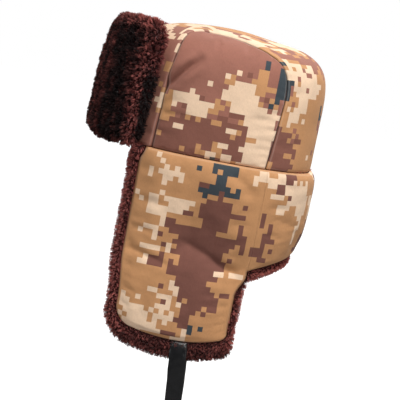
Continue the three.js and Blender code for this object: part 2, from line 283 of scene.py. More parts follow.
def dress(piece, look, slot, fill, *nodes):
    """Give a padded piece its material and hide the CAD nodes that it stands for; slot and fill are not used.
    """
    piece.data.materials.append(look)
    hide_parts(*nodes)


# ---- Camera, straps and studio ----

def add_camera():
    """Level with the brim and a little above it, on the wearer's left, leaning as the hat hangs."""
    rise, roll = math.radians(8), math.radians(11)
    back = Vector((math.cos(rise), 0, math.sin(rise)))
    right = Vector((0, 1, 0))
    up = back.cross(right)
    across = right * math.cos(roll) + up * math.sin(roll)
    over = up * math.cos(roll) - right * math.sin(roll)
    data = bpy.data.cameras.new("camera")
    data.sensor_width = 36
    data.lens = data.sensor_width * CAMERA_DISTANCE / CAMERA_WIDTH
    data.clip_start = 0.05
    camera = bpy.data.objects.new("camera", data)
    turn = Matrix((across, over, back)).transposed()
    camera.matrix_world = Matrix.Translation(CAMERA_TARGET + back * CAMERA_DISTANCE) @ turn.to_4x4()
    bpy.context.scene.collection.objects.link(camera)
    bpy.context.scene.camera = camera


def add_light(name, place, aim, size, watts, colour=(1, 1, 1)):
    data = bpy.data.lights.new(name, "AREA")
    data.shape = "DISK"
    data.size = size
    data.energy = watts
    data.color = colour
    light = bpy.data.objects.new(name, data)
    light.location = place
    light.rotation_euler = (Vector(aim) - Vector(place)).to_track_quat("-Z", "Y").to_euler()
    bpy.context.scene.collection.objects.link(light)


def add_studio():
    scene = bpy.context.scene
    scene.view_settings.view_transform = "Standard"
    scene.view_settings.look = "None"
    scene.world = bpy.data.worlds.new("studio")
    scene.world.use_nodes = True
    tree = scene.world.node_tree
    tree.nodes.clear()
    output, mix, ray, seen, lit = (tree.nodes.new("ShaderNode" + kind) for kind in (
        "OutputWorld", "MixShader", "LightPath", "Background", "Background"))
    seen.inputs["Color"].default_value = (1, 1, 1, 1)
    lit.inputs["Color"].default_value = (0.97, 0.985, 1, 1)
    lit.inputs["Strength"].default_value = 0.24
    tree.links.new(ray.outputs["Is Camera Ray"], mix.inputs[0])
    tree.links.new(lit.outputs[0], mix.inputs[1])
    tree.links.new(seen.outputs[0], mix.inputs[2])
    tree.links.new(mix.outputs[0], output.inputs[0])
    add_light("key", (0.9, 0.3, 1.7), (0, 0, -0.03), 0.6, 36, (1, 0.985, 0.96))
    add_light("fill", (1.4, -0.9, 0.25), (0, 0, -0.05), 0.5, 7)
    add_light("rear", (0.9, 1.4, 0.7), (0, 0, -0.03), 0.5, 10)
    add_light("back", (-1.2, 0.6, 1.5), (0, 0, 0), 1.2, 26)
    size, low = 9.0, (cad_box[0][2] - 0.012) / MM
    corners = np.array([[-size, -size], [size, -size], [size, size], [-size, size]]) / MM
    floor = make_object("floor", np.column_stack([corners, np.full(4, low)]), [np.array([[0, 1, 2, 3]])])
    # The floor looks white, but lights the hat no more than a pale grey one would.
    n = Nodes("floor_white")
    n.link(n.add("LightPath", {}, "Is Camera Ray"), n.face.inputs["Emission Strength"])
    white = n.finish((0.3, 0.3, 0.3), 0.9, Emission_Color=(1, 1, 1, 1), Specular_IOR_Level=0.1)
    floor.data.materials.append(white)


# ---- Materials ----

class Nodes:
    """Short ways to add and link shader nodes."""

    def __init__(self, name):
        self.material = bpy.data.materials.new(name)
        self.material.use_nodes = True
        self.tree = self.material.node_tree
        self.face = self.tree.nodes["Principled BSDF"]

    def link(self, value, socket):
        if isinstance(value, bpy.types.NodeSocket):
            self.tree.links.new(value, socket)
        elif isinstance(value, tuple):
            socket.default_value = (*value, 1)[:len(socket.default_value)]
        else:
            socket.default_value = value

    def add(self, kind, inputs, output=0, **settings):
        """One output of a new node. inputs maps a socket's name or number to a value or to another output."""
        node = self.tree.nodes.new("ShaderNode" + kind)
        for key, value in settings.items():
            setattr(node, key, value)
        for socket, value in inputs.items():
            self.link(value, node.inputs[socket])
        return node.outputs[output]

    def math(self, kind, *values):
        return self.add("Math", dict(enumerate(values)), operation=kind)

    def vector(self, kind, a, b=(0, 0, 0)):
        to_number = kind in ("LENGTH", "DOT_PRODUCT")
        return self.add("VectorMath", {0: a, 3 if kind == "SCALE" else 1: b}, int(to_number), operation=kind)

    def attribute(self, name, kind="Fac"):
        return self.add("Attribute", {}, kind, attribute_name=name)

    def object_place(self):
        return self.add("TexCoord", {}, "Object")

    def noise(self, place, scale, detail=2.0, rough=0.5):
        look = {"Scale": scale, "Detail": detail, "Roughness": rough, "Vector": place}
        return self.add("TexNoise", look, "Fac")

    def white(self, place):
        return self.add("TexWhiteNoise", {"Vector": place}, "Value")

    def voronoi(self, place, scale, feature="F1"):
        return self.add("TexVoronoi", {"Scale": scale, "Vector": place}, "Distance", feature=feature)

    def spread(self, value, low, high, to_low=0.0, to_high=1.0):
        """The value moved smoothly from between low and high to between to_low and to_high."""
        ends = {"From Min": low, "From Max": high, "To Min": to_low, "To Max": to_high}
        return self.add("MapRange", {"Value": value, **ends}, "Result", interpolation_type="SMOOTHSTEP")

    def mix(self, share, a, b, kind="MIX"):
        return self.add("Mix", {0: share, 6: a, 7: b}, 2, data_type="RGBA", blend_type=kind)

    def bump(self, height, distance, strength=1.0, under=None):
        lower = {} if under is None else {"Normal": under}
        return self.add("Bump", {"Strength": strength, "Distance": distance, "Height": height, **lower})

    def finish(self, colour, roughness, normal=None, **fixed):
        for value, name in ((colour, "Base Color"), (roughness, "Roughness"), (normal, "Normal")):
            if value is not None:
                self.link(value, self.face.inputs[name])
        for name, value in fixed.items():
            self.face.inputs[name.replace("_", " ")].default_value = value
        return self.material


BROWN = (0.30, 0.125, 0.09)
# Brown with painted shade, for the ear and neck flaps, which hang in less light.
DEEP_SHADED_BROWN = (0.175, 0.07, 0.052)
# Brown with painted shade, mostly for the lower part of the crown.
SHADED_BROWN = (0.21, 0.084, 0.06)
TAN = (0.50, 0.252, 0.112)
CREAM = (0.76, 0.55, 0.385)
SLATE = (0.044, 0.055, 0.064)


def camo(name, ground, layers, seed):
    """Woven cloth printed with squares. ground is the base colour, and each layer is (colour, patches, hills,
    ragged): patches are (middle across, middle up, half-size across, half-size up) of listed areas, in
    millimetres on the flat cloth, hills is (size, share covered, where they begin) of random areas or None,
    and ragged is how far squares stray from a patch's edge."""
    n = Nodes(name)
    cloth = n.attribute("cloth", "Vector")
    cell, warp_pitch, shift_x, shift_y = 0.0053, 0.0009, 0.0013, 0.0021
    shifted = n.vector("ADD", cloth, (shift_x, shift_y, seed * 3.7))

    def squares(side):
        low = n.vector("FLOOR", n.vector("SCALE", shifted, 1 / side))
        middle = n.vector("SCALE", n.vector("ADD", low, (0.5, 0.5, 0)), side)
        return n.vector("SUBTRACT", middle, (shift_x, shift_y, 0))

    # A few squares are four joined into one.
    small, large = squares(cell), squares(2 * cell)
    pick = n.math("GREATER_THAN", n.white(large), 0.93)
    small_part = n.vector("SCALE", small, n.math("SUBTRACT", 1.0, pick))
    place = n.vector("ADD", small_part, n.vector("SCALE", large, pick))
    colour = ground
    for number, (paint, patches, hills, ragged) in enumerate(layers):
        field = None
        for across, up, half_across, half_up in patches:
            from_middle = n.vector("SUBTRACT", place, (across * MM, up * MM, seed * 3.7))
            scaled = n.vector("MULTIPLY", from_middle, (1000 / half_across, 1000 / half_up, 0))
            least = min(half_across, half_up)
            within = n.math("MULTIPLY_ADD", n.vector("LENGTH", scaled), -least, least)
            field = within if field is None else n.math("MAXIMUM", field, within)
        shift = n.vector("ADD", place, (number * 0.37, 0, 0))
        if hills is not None:
            size, cover, begin = hills
            hill = n.math("SUBTRACT", n.noise(shift, 1000 / size, 2.0), 1 - cover)
            hill = n.math("MULTIPLY", hill, size * 1.6)
            along = n.vector("DOT_PRODUCT", place, (1000, 0, 0))
            hill = n.math("ADD", hill, n.spread(along, begin, begin + 14, -60, 0))
            field = hill if field is None else n.math("MAXIMUM", field, hill)
        stray = n.math("MULTIPLY", n.math("SUBTRACT", n.noise(shift, 90, 2.0), 0.5), 2.6 * ragged)
        stray = n.math("MULTIPLY_ADD", n.math("SUBTRACT", n.white(shift), 0.5), ragged, stray)
        here = n.math("GREATER_THAN", n.math("ADD", field, stray), 0.0)
        colour = n.mix(here, colour, paint)
    # Uneven print and dye, then the weave's own threads.
    mottle = n.noise(cloth, 60, 3.0)
    colour = n.mix(1.0, colour, n.mix(mottle, (0.86,) * 3, (1.1,) * 3), "MULTIPLY")
    turn = 2 * math.pi / warp_pitch
    warp, weft = (n.math("SINE", n.math("MULTIPLY", n.vector("DOT_PRODUCT", cloth, way), turn))
                  for way in ((1, 0, 0), (0, 1, 0)))
    weave = n.math("MULTIPLY", warp, weft)
    slubs = n.noise(n.vector("MULTIPLY", cloth, (1, 0.12, 1)), 2600, 2.0)
    threads = n.math("ADD", n.math("MULTIPLY", weave, 0.22), slubs)
    colour = n.mix(1.0, colour, n.mix(n.spread(threads, 0.1, 0.95), (0.87,) * 3, (1.08,) * 3), "MULTIPLY")
    # Painted shade darkens the seam grooves and the cloth's edge beside the fur, and a paler band beside the
    # seams is partly rubbed wear and partly painted highlight on the seam's shoulder.
    edge = n.attribute("edge")
    colour = n.mix(n.spread(edge, 0.0, 0.2, 0.75, 0.0), colour, (0.03, 0.018, 0.015))
    wear_and_highlight = n.math("MULTIPLY", n.spread(edge, 0.2, 0.34, 0, 1), n.spread(edge, 0.34, 0.6, 0.09, 0))
    colour = n.mix(wear_and_highlight, colour, (0.85, 0.75, 0.66))
    normal = n.bump(threads, 0.00025, 0.55)
    normal = n.bump(n.noise(cloth, 240, 3.0), 0.0006, 0.5, normal)
    roughness = n.spread(threads, 0, 1, 0.72, 0.9)
    return n.finish(colour, roughness, normal, Sheen_Weight=0.05, Sheen_Roughness=0.5, Specular_IOR_Level=0.2)


def fur_tips(name, root, tip, pale):
    n = Nodes(name)
    along = n.attribute("along")
    tone = n.attribute("tone")
    colour = n.mix(n.spread(along, 0.1, 0.95), root, n.mix(tone, tip, pale))
    colour = n.mix(n.attribute("dark"), colour, (0.008, 0.005, 0.005))
    return n.finish(colour, n.spread(along, 0, 1, 0.85, 0.6), Sheen_Weight=0.1, Sheen_Roughness=0.4,
                    Specular_IOR_Level=0.12)


def fur_ground(name, colour):
    n = Nodes(name)
    place = n.object_place()
    curls = n.voronoi(place, 420)
    shade = n.mix(n.spread(curls, 0.1, 0.7), colour, tuple(0.35 * c for c in colour))
    normal = n.bump(n.math("ADD", curls, n.noise(place, 900, 3.0)), 0.0015, 0.8)
    return n.finish(shade, n.spread(n.noise(place, 700), 0.3, 0.7, 0.8, 1.0), normal, Sheen_Weight=0.05,
                    Specular_IOR_Level=0.1)


def satin():
    n = Nodes("lining_satin")
    cloth = n.attribute("cloth", "Vector")
    fine = n.noise(n.vector("MULTIPLY", cloth, (1, 0.05, 1)), 3200, 2.0)
    folds = n.noise(cloth, 130, 3.0)
    stitch = n.attribute("edge")
    colour = n.mix(n.spread(folds, 0.3, 0.7), (0.016, 0.014, 0.016), (0.03, 0.026, 0.03))
    dash = n.math("SINE", n.math("MULTIPLY", n.vector("DOT_PRODUCT", cloth, (1, 1, 0)), 2 * math.pi / 0.0034))
    thread = n.math("MULTIPLY", n.spread(stitch, 0.06, 0.02), n.spread(dash, -0.3, 0.1))
    colour = n.mix(thread, colour, (0.07, 0.06, 0.062))
    normal = n.bump(fine, 0.0002, 0.5, n.bump(folds, 0.0015, 0.6))
    return n.finish(colour, n.spread(folds, 0.3, 0.7, 0.3, 0.42), normal, Sheen_Weight=0.15, Anisotropic=0.4)


def leather():
    n = Nodes("strap_black_leather")
    cloth = n.attribute("cloth", "Vector")
    grain = n.voronoi(cloth, 1500, feature="DISTANCE_TO_EDGE")
    crinkle = n.noise(n.vector("MULTIPLY", cloth, (1, 0.22, 1)), 420, 4.0, rough=0.6)
    scuff = n.noise(cloth, 160, 4.0)
    worn = n.math("MULTIPLY", n.spread(n.attribute("edge"), 0.75, 1.0), n.spread(scuff, 0.4, 0.65))
    colour = n.mix(n.spread(scuff, 0.35, 0.7), (0.003, 0.003, 0.0035), (0.006, 0.006, 0.007))
    colour = n.mix(n.math("MULTIPLY", worn, 0.5), colour, (0.05, 0.048, 0.045))
    normal = n.bump(n.spread(grain, 0, 0.12), 0.00004, 0.3, n.bump(crinkle, 0.0005, 0.5))
    return n.finish(colour, n.spread(scuff, 0.3, 0.7, 0.17, 0.26), normal, Specular_IOR_Level=0.36)


def stud_metal():
    n = Nodes("stud_dark_metal")
    place = n.object_place()
    fine = n.noise(place, 2600, 3.0)
    cloudy = n.noise(place, 380, 3.0)
    colour = n.mix(n.spread(cloudy, 0.3, 0.7), (0.3, 0.29, 0.28), (0.42, 0.41, 0.39))
    return n.finish(colour, n.spread(fine, 0.2, 0.8, 0.24, 0.42), n.bump(fine, 0.00005, 0.4), Metallic=1.0)


# ---- Chin straps ----

def make_strap(side):
    """Thin glossy strap, sewn in under the flap's edge, bending out over the fur, then hanging."""
    name = "left" if side > 0 else "right"
    route = STRAP_ROUTE * (side, 1, 1)
    line, length = evenly(route, 150)
    tangent = unit(np.gradient(line, axis=0))
    across = np.tile([0.0, 1.0, 0.0], (len(line), 1))
    face = unit(np.cross(tangent, across)) * -side
    across = unit(np.cross(face, tangent)) * -side
    run = np.linspace(0, length, len(line))
    to_tip = length - run
    cut = STRAP_TIP - np.sqrt(np.maximum(STRAP_TIP**2 - np.maximum(STRAP_TIP - to_tip, 0) ** 2, 0))
    half = STRAP_WIDTH / 2 - 0.8 * cut + 0.18 * waves(run, 0 * run, 3, 30)
    turns = 26
    angle = np.linspace(0, 2 * math.pi, turns, endpoint=False)
    flat = np.sign(np.cos(angle)) * np.abs(np.cos(angle)) ** 0.42
    thick = np.sign(np.sin(angle)) * np.abs(np.sin(angle)) ** 0.75
    u, s = np.meshgrid(flat, run)
    ridge = 0.55 * waves(u * 7, s * 0.10, 11 + side, 7) + 0.3 * waves(u * 9, s * 0.5, 17 + side, 6)
    bend = smooth(s, 0, 16) * (1 - smooth(s, 60, 150) * 0.5)
    streaks = 0.5 * np.exp(-((u - 0.38) / 0.17) ** 2) + 0.45 * np.exp(-((u + 0.42) / 0.15) ** 2)
    lift = (0.8 * ridge + 0.25 + streaks * (1 - smooth(s, 26, 60))) * bend * (1 - np.abs(u) ** 4)
    cup = -2.0 * u**2 * smooth(s, 4, 30) * (1 - smooth(s, 150, 200))
    points = (line[:, None] + across[:, None] * (flat * half[:, None])[..., None]
              + face[:, None] * (thick * STRAP_THICK / 2 + lift + cup)[..., None])
    at = np.arange(len(line) * turns).reshape(-1, turns)
    following = np.roll(at, -1, axis=1)
    sides = np.stack([at[:-1], following[:-1], following[1:], at[1:]], -1).reshape(-1, 4)
    if side < 0:
        sides = sides[:, ::-1]
    ends = np.stack([at[0, ::-1], at[-1]]) if side > 0 else np.stack([at[0], at[-1, ::-1]])
    cloth = np.stack([u * STRAP_WIDTH / 2 + 40 * (thick > 0), s, 0 * s], -1).reshape(-1, 3) * MM
    strap = make_object(f"{name}_chin_strap", points.reshape(-1, 3), [sides, ends],
                        floats={"edge": np.abs(u) ** 3}, vectors={"cloth": cloth})
    strap.data.materials.append(leather_look)
    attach(strap, f"{name}_ear_flap")
    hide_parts(f"{name}_strap")


# ---- Crown ----

def crown_x(y, z):
    reach = power(1 - power(z / CROWN_H, WALL), PLAN / DOME)
    return CROWN_A * power(reach - power(np.abs(y) / CROWN_B, PLAN), 1 / PLAN)


def crown_level(x, y, z):
    plan = power(np.abs(x) / CROWN_A, PLAN) + power(np.abs(y) / CROWN_B, PLAN)
    return plan ** (DOME / PLAN) + power(z / CROWN_H, WALL) - 1


def at_depth(points, depth):
    return points * (1 - depth / np.array([CROWN_A, CROWN_B, CROWN_H]))


def side_panel(columns, rows, shrink=0.997):
    """Grid of points of a crown side panel on the wearer's left, from the lower edge to the top seam."""
    u, v = np.meshgrid(np.linspace(0, 1, columns), np.linspace(0, 1, rows))
    front, back = spline(SEAM, SEAM_FRONT * v), spline(SEAM, 1 - (1 - SEAM_BACK) * v)
    top = spline(SEAM, lerp(SEAM_FRONT, SEAM_BACK, u))
    first, last = SEAM[0], SEAM[-1]
    base = lerp(first, last, u[..., None])
    high = lerp(spline(SEAM, np.array(SEAM_FRONT)), spline(SEAM, np.array(SEAM_BACK)), u[..., None])
    u, v = u[..., None], v[..., None]
    flat = (base * (1 - v) + top * v + front * (1 - u) + back * u - lerp(base, high, v)) * shrink
    y, z = flat[..., 0], np.maximum(flat[..., 1], 0)
    return np.stack([crown_x(y, z), y, z], -1)


def centre_panel(columns, rows):
    """Grid of points of the crown's centre panel, from the front edge over the top to the back edge."""
    share = np.linspace(0, 1, rows)
    seam = spline(SEAM, share)
    y, z = seam[:, :1], np.maximum(seam[:, 1:], 0)
    edge = crown_x(y, z)
    x = edge * np.cos(np.pi * np.linspace(0, 1, columns))[None]
    near, far = np.ones(x.shape), np.full(x.shape, 3.0)
    for _ in range(34):
        middle = (near + far) / 2
        inside = crown_level(x, y * middle, z * middle) < 0
        near, far = np.where(inside, middle, near), np.where(inside, far, middle)
    near[:, 0] = near[:, -1] = 1
    return np.stack([x, y * near, z * near], -1)


def run_of(points, axis):
    """Distance along the grid's rows or columns."""
    step = np.linalg.norm(np.diff(points, axis=axis), axis=-1)
    zero = np.zeros_like(np.take(step, [0], axis))
    return np.concatenate([zero, np.cumsum(step, axis)], axis)


def to_edges(points):
    """Distance of each grid point to the grid's four edges: first column, last column, first and last row."""
    across, along = run_of(points, 1), run_of(points, 0)
    return across, across[:, -1:] - across, along, along[-1:] - along


def seam_relief(far, place, seed):
    """Height of a padded cloth near a sewn seam: a narrow groove, a soft shoulder and small gathers."""
    groove = -1.5 * np.exp(-((far / 1.1) ** 1.4)) + 0.15 * np.exp(-(((far - 3.5) / 2.2) ** 2))
    gathers = 0.34 * np.exp(-far / 7) * waves(place, 0 * place, seed, 9)
    return groove + gathers * smooth(far, 0.3, 3)


def make_side_panel(side):
    name = "left" if side > 0 else "right"
    columns, rows = 92, 104
    points = side_panel(columns, rows)
    moved = settle(side_panel(30, 34), rows, columns, 0.018 if side > 0 else 0.02, 2.5, 3.0)
    first, last, low, high = to_edges(points)
    s, t = points[..., 1], run_of(points, 0)
    far = np.minimum(np.minimum(first, last), high)
    height = seam_relief(far, np.where(high < np.minimum(first, last), s, t), 21 + side)
    height += seam_relief(low + 0.4, s, 31 + side) * 0.8
    height += creases(s, t, [
        ([(-59, 61), (-50, 73), (-40, 85), (-29, 96)], 5.0, 3.6, 0.6),
        ([(-60, 40), (-48, 34), (-30, 33)], 0.55, 4.5, 0.4),
        ([(59, 60), (48, 50), (34, 46)], 0.6, 5.0, 0.4),
        ([(20, 1), (16, 14), (18, 28)], 0.5, 5.0, 0.4)])
    height += 1.2 * np.exp(-(((s + 52) / 8) ** 2 + ((t - 86) / 12) ** 2))
    height += 0.35 * waves(s, t, 41 + side, 55) * smooth(far, 2, 25)
    outer = points + moved * 0.7 + outward(points) * height[..., None]
    inner = at_depth(points, CROWN_PAD)
    panel = shell(f"crown_{name}_padded_panel", outer * (side, 1, 1), inner * (side, 1, 1),
                  np.stack([s, t], -1), np.minimum(far, low + 1.0) / 6)
    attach(panel, "crown")
    dress(panel, camo_side_left if side > 0 else camo_side_right, "camo_cloth", 0.7,
          f"crown_{name}_panel", f"crown_{name}_wadding")


def make_centre_panel():
    columns, rows = 110, 190
    points = centre_panel(columns, rows)
    moved = settle(centre_panel(34, 60), rows, columns, 0.014, 2.0, 2.5)
    first, last, low, high = to_edges(points)
    total = low[-1, 0]
    s = CENTRE_START + first
    t = lerp(total - low, high, smooth(low / (low + high), 0.3, 0.7))
    far = np.minimum(first, last)
    height = seam_relief(far, t, 51)
    height += seam_relief(np.minimum(low, high) + 0.4, s, 61) * 0.8
    height += creases(s, t, [
        ([(60, 88), (74, 80), (92, 84)], 0.8, 5, 0.4), ([(58, 30), (72, 24), (90, 30)], 0.7, 5, 0.4),
        ([(140, 20), (150, 45), (146, 70)], 0.8, 6, 0.4)])
    height += 0.4 * waves(s, t, 43, 60) * smooth(far, 2, 25)
    back_top = np.exp(-(((points[..., 1] - 44) / 30) ** 2)) * smooth(points[..., 2], 90, 120)
    height -= 2.8 * back_top * smooth(far, 0, 30)
    outer = points + moved * 0.3 + outward(points) * height[..., None]
    edge = np.minimum(far, np.minimum(low, high) + 1.0) / 6
    panel = shell("crown_centre_padded_panel", outer, at_depth(points, CROWN_PAD), np.stack([s, t], -1), edge)
    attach(panel, "crown")
    dress(panel, camo_centre, "camo_cloth", 0.7,
          "crown_centre_panel", "crown_front_wadding", "crown_top_wadding", "crown_back_wadding")


def quilt(s, t):
    """Height of a quilted lining's pillows between crossed lines of stitches, and distance from a line."""
    size = 34.0
    a, b = (s + t) / size, (s - t) / size
    near = np.minimum(*(np.abs(x - np.round(x)) * size / math.sqrt(2) for x in (a, b)))
    return 1.9 * (1 - np.exp(-near / 4.5)), near / 12


def make_lining():
    for name in ("left", "right", "centre"):
        points = centre_panel(90, 180) if name == "centre" else side_panel(72, 84)
        first, last, low, high = to_edges(points)
        if name == "centre":
            s, t = first, np.broadcast_to(low[:, :1], first.shape)
        else:
            s, t = points[..., 1], low
        pillow, stitch = quilt(s, t)
        far = np.minimum(np.minimum(first, last), np.minimum(low, high))
        inward = pillow * smooth(far, 0, 9) + 0.35 * waves(s, t, 71, 18)
        mirror = (-1 if name == "right" else 1, 1, 1)
        outer = at_depth(points, LINING_OUTER) * mirror
        inner = (at_depth(points, LINING_INNER) - outward(points) * inward[..., None]) * mirror
        piece = shell(f"crown_{name}_quilted_lining", outer, inner, np.stack([s, t], -1),
                      np.minimum(stitch, far / 12))
        all_smooth(piece)
        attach(piece, "crown")
        dress(piece, satin_look, "lining_cloth", 0.3, f"crown_{name}_lining")


# ---- Flaps ----

def draw_in(z):
    return 1 - 0.068 * power(np.maximum(z, -108) / -94, 2)


def curtain_x(y, z, depth):
    a, b = (CURTAIN_A - depth) * draw_in(z), (CURTAIN_B - depth) * draw_in(z)
    return a * power(1 - power(np.abs(y) / b, PLAN), 1 / PLAN)


def ear_x(y, z, depth):
    flat = 92 - 0.0012 * y * y - depth
    share = smooth(-z, 5, 120) * (1 - smooth(y, 10, SPLIT))
    return lerp(curtain_x(y, z, depth), flat, share)


def flap_bend(s, t):
    """How far the ear flap bends in along its fold: it slopes in above the fold and springs out below it."""
    above = t - np.interp(s, [-80, -38, -22, -6, 20, 45, 62], [-103, -112, -100, -91, -101, -112, -117])
    depth = np.interp(s, [-80, -60, -36, -24, -8, 20, 44, 58], [2.0, 3.0, 3.4, 4.2, 8.5, 10.5, 8.0, 0.0])
    return depth * np.where(above > 0, np.exp(-np.abs(above / 32) ** 1.5), np.exp(-np.abs(above / 16) ** 1.6))


def corner_cut(radius, above):
    cut = radius - np.sqrt(np.maximum(radius**2 - (radius - above) ** 2, 0))
    return np.where(above >= radius, 0, cut)


def ear_place(shape, u, v, depth, split=SPLIT):
    """Points of an ear flap layer on the wearer's left: u from the front to the back, v from the top down."""
    drop = 1 - (1 - v) ** 1.7
    level = lerp(CURTAIN_TOP, shape["bottom"], drop)
    above = level - shape["bottom"]
    front = shape["front"] + corner_cut(shape["front_corner"], above)
    front = front + 5 * (1 - smooth(-level, 0, 18)) + 4.2 * smooth(-level, 112, 168)
    notch = smooth(-level, -shape["notch"][0], -shape["notch"][1])
    back = lerp(split, shape["back"], notch) - corner_cut(shape["back_corner"], above)
    y = lerp(front, back, u)
    z = level + 0.0025 * (y + 5) ** 2 * drop**2
    return np.stack([ear_x(y, z, depth), y, z], -1)


def neck_place(overhang, u, v, depth, split=SPLIT):
    """Points of a neck flap layer: u from the wearer's left round the back to the right, v from the top."""
    across = 2 * u - 1
    bottom = lerp(-95, -110, np.abs(across) ** 2.1) - overhang
    z = lerp(CURTAIN_TOP, bottom, v)
    a, b = (CURTAIN_A - depth) * draw_in(z), (CURTAIN_B - depth) * draw_in(z)
    start = np.arcsin((split / b) ** (PLAN / 2))
    angle = lerp(start, math.pi - start, u)
    x = a * np.sign(np.cos(angle)) * power(np.abs(np.cos(angle)), 2 / PLAN)
    return np.stack([x, b * power(np.sin(angle), 2 / PLAN), z], -1)


def curtain_outline(shape, overhang):
    """A curtain layer's free edge in the flat, from the ear flap's front round to the neck flap's middle and
    beyond, and the middle of the back."""
    t = np.linspace(0, 1, 40)
    front = ear_place(shape, 0 * t, t, 0)
    bottom = ear_place(shape, t, 0 * t + 1, 0)
    rear = ear_place(shape, 0 * t + 1, 1 - t, 0)
    rear = rear[rear[:, 2] < -111 - overhang]
    neck = neck_place(overhang, t, 0 * t + 1, 0)
    run = SPLIT + run_of(neck[None], 1)[0]
    middle = run[-1] / 2 + SPLIT / 2
    round_the_back = np.column_stack([run, neck[:, 2]])
    line = np.concatenate([front[:, 1:], bottom[1:, 1:], rear[:, 1:], round_the_back])
    return line, middle


def curtain_relief(s, t, outline, seed):
    """Height of the padded curtain above its plain surface at a flat place (s, t) of its cloth."""
    far, _ = from_line(s, t, outline)
    roll = 3.2
    rounded = -(roll - np.sqrt(np.maximum(roll**2 - np.maximum(roll - far, 0) ** 2, 0)))
    pillow = 1.8 * smooth(far, 0, 30) - 1.2
    brim = -2.6 * np.exp(-((-t / 2.6) ** 1.4)) + 0.25 * waves(s, 0 * s, seed, 10) * np.exp(t / 9)
    return rounded * 0.9 + pillow * smooth(-t, 0, 25) + brim, far


def ear_creases(s, t, seed):
    height = creases(s, t, [
        ([(-74, -103), (-56, -107), (-38, -112), (-22, -116)], 1.5, 3.4, 0.4),
        ([(-14, -88), (4, -94), (24, -103), (44, -112), (57, -116)], 1.6, 3.6, 0.4),
        ([(58, -27), (44, -22), (32, -14), (22, -8)], 1.7, 5.0, 0.5),
        ([(-66, -58), (-50, -54), (-36, -58)], 0.7, 6.0, 0.4),
        ([(8, -188), (4, -172), (8, -158)], 0.9, 6.0, 0.4),
        ([(-48, -186), (-40, -168), (-42, -150)], 0.7, 7.0, 0.4),
        ([(50, -150), (36, -146), (22, -150)], 0.6, 6.0, 0.4)])
    return height + 0.9 * waves(s, t, seed, 70) + 0.35 * waves(s, t, seed + 1, 30)


def hang_ear(piece):
    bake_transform(piece)


def hang_neck(piece):
    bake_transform(piece)


def grid(columns, rows, spread=np.linspace):
    """Shares from 0 to 1 across and along a grid."""
    return np.meshgrid(spread(0, 1, columns), spread(0, 1, rows))


def make_ear_shell(side, outline, middle):
    name = "left" if side > 0 else "right"
    columns, rows = 110, 150
    u, v = grid(columns, rows)
    points = ear_place(EAR, u, v, 0)
    moved = settle(ear_place(EAR, *grid(34, 46), 0), rows, columns, 0.02 if side > 0 else 0.023, 2.0, 3.5)
    s, t = points[..., 1], points[..., 2]
    relief, far = curtain_relief(s, t, outline, 81)
    at_split = smooth(SPLIT - s, 0, 22) * smooth(-t, 0, 20)
    relief += ear_creases(s, t, 91 + side) * smooth(far, 0, 10) * at_split
    held = (smooth(far, 0, 8) * at_split)[..., None]
    outer = points + moved * 0.6 * held + outward(points) * relief[..., None]
    inner = ear_place(EAR, u, v, FLAP_PAD)
    for layer in (outer, inner):
        layer[..., 0] -= flap_bend(s, t)
    edge = np.minimum(far + 1.4, -t + 0.5) / 6
    # The curtain's cloth runs on round the back, so the right flap is cut from its far end.
    run = s if side > 0 else 2 * middle - s
    piece = shell(f"{name}_ear_flap_padded_shell", outer * (side, 1, 1), inner * (side, 1, 1),
                  np.stack([run, t], -1), edge)
    hang_ear(piece)
    dress(piece, camo_curtain, "camo_cloth", 0.6, f"{name}_ear_flap_shell", f"{name}_ear_flap_wadding")


def make_neck_shell(outline, middle):
    columns, rows = 200, 84
    u, v = grid(columns, rows)
    points = neck_place(0, u, v, 0)
    moved = settle(neck_place(0, *grid(62, 26), 0), rows, columns, 0.02, 2.0, 3.5)
    s = SPLIT + run_of(points, 1)
    t = points[..., 2]
    mirrored = np.where(s > middle, 2 * middle - s, s)
    relief, far = curtain_relief(mirrored, t, outline, 81)
    at_split = smooth(mirrored - SPLIT, 0, 22) * smooth(-t, 0, 20)
    folds = creases(s, t, [
        ([(72, -8), (92, -16), (112, -14)], 1.0, 5, 0.4),
        ([(118, -96), (124, -70), (122, -44)], 1.0, 7, 0.4),
        ([(165, -96), (158, -60), (162, -36)], 1.1, 7, 0.4),
        ([(216, -95), (222, -66), (214, -40)], 1.0, 7, 0.4),
        ([(240, -10), (262, -22), (280, -20)], 0.9, 5, 0.4)])
    folds += 0.8 * waves(s, t, 95, 60)
    relief += folds * smooth(far, 0, 10) * at_split - 2.0 * np.exp(-((-t / 5) ** 1.5))
    held = (smooth(far, 0, 8) * at_split)[..., None]
    outer = points + moved * 0.6 * held + outward(points, (0, 0, -50)) * relief[..., None]
    edge = np.minimum(far + 1.4, -t + 0.5) / 6
    piece = shell("neck_flap_padded_shell", outer, neck_place(0, u, v, FLAP_PAD), np.stack([s, t], -1), edge)
    hang_neck(piece)
    dress(piece, camo_curtain, "camo_cloth", 0.6, "neck_flap_shell", "neck_flap_wadding")


# ---- Fur ----

def inside(x, y, line):
    """Whether each point lies inside a closed outline."""
    line = np.array(line, float)
    crossed = np.zeros(x.shape, bool)
    for a, b in zip(line, np.roll(line, -1, axis=0)):
        if abs(a[1] - b[1]) > 1e-9:
            here = (a[1] > y) != (b[1] > y)
            crossed ^= here & (x < (b[0] - a[0]) * (y - a[1]) / (b[1] - a[1]) + a[0])
    return crossed


